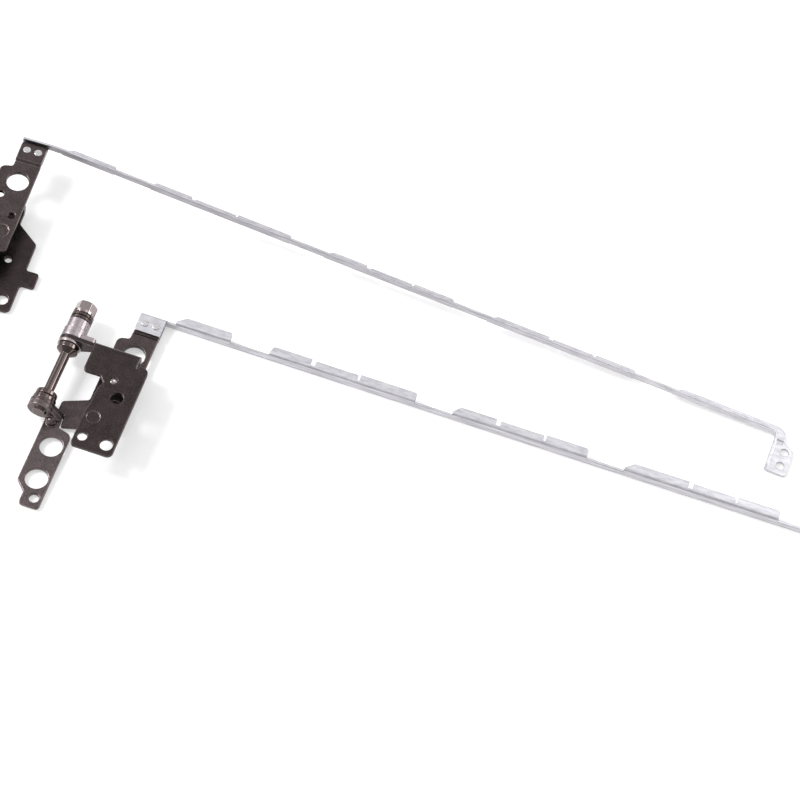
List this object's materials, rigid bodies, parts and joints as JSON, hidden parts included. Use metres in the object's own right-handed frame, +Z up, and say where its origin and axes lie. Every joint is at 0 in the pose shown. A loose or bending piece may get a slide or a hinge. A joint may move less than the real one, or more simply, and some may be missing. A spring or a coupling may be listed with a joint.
{
  "type": "laptop hinge pair",
  "caption": "Left and right laptop friction hinges, each with a base bracket, a keyed shaft with spring stack and nut, a lid bracket and arm, and a long folded rail along the screen.",
  "frame": {"origin": "on the table, under the middle of the box round both hinges", "axes": "+X along the near hinge's rail to its foot, +Y from the near hinge to the far one, +Z up"},
  "size_m": [0.2824, 0.102, 0.0105],
  "materials": {
    "dark_nickel_steel": "dark nickel-plated pressed steel, satin",
    "dark_shaft_steel": "dark nickel-plated turned steel",
    "satin_steel": "satin turned steel",
    "black_spring_steel": "blackened spring steel",
    "bright_nickel_steel": "bright nickel-plated steel",
    "zinc_plated_steel": "zinc-plated sheet steel, faintly mottled"
  },
  "bodies": {
    "resting_sides": {"near_lid_bracket": "dark_nickel_steel", "near_lid_arm": "dark_nickel_steel", "near_hinge_shaft": "dark_shaft_steel", "near_lid_spacer": "dark_shaft_steel", "near_pressure_bush": "satin_steel", "near_disc_spring_1": "black_spring_steel", "near_disc_spring_2": "black_spring_steel", "near_disc_spring_3": "black_spring_steel", "near_disc_spring_4": "black_spring_steel", "near_lock_nut": "bright_nickel_steel", "near_lid_rail": "zinc_plated_steel", "near_rail_rivets": "bright_nickel_steel", "far_base_bracket": "dark_nickel_steel", "far_thrust_washer": "satin_steel", "far_friction_bush": "satin_steel"},
    "near_base": {"near_base_bracket": "dark_nickel_steel", "near_thrust_washer": "satin_steel", "near_friction_bush": "satin_steel"},
    "far_lid": {"far_lid_bracket": "dark_nickel_steel", "far_lid_arm": "dark_nickel_steel", "far_hinge_shaft": "dark_shaft_steel", "far_lid_spacer": "dark_shaft_steel", "far_pressure_bush": "satin_steel", "far_disc_spring_1": "black_spring_steel", "far_disc_spring_2": "black_spring_steel", "far_disc_spring_3": "black_spring_steel", "far_disc_spring_4": "black_spring_steel", "far_lock_nut": "bright_nickel_steel", "far_lid_rail": "zinc_plated_steel", "far_rail_rivets": "bright_nickel_steel"}
  },
  "joints": [
    {"name": "near_hinge", "type": "hinge", "parent": "resting_sides", "child": "near_base", "pos_m": [-0.09104, -0.00536, 0.00527], "axis": [0, -0.9997, -0.0236], "range_deg": [0, 135]},
    {"name": "far_hinge", "type": "hinge", "parent": "resting_sides", "child": "far_lid", "pos_m": [-0.13754, 0.02984, 0.00523], "axis": [0.061, -0.9981, 0], "range_deg": [0, 135]}
  ]
}
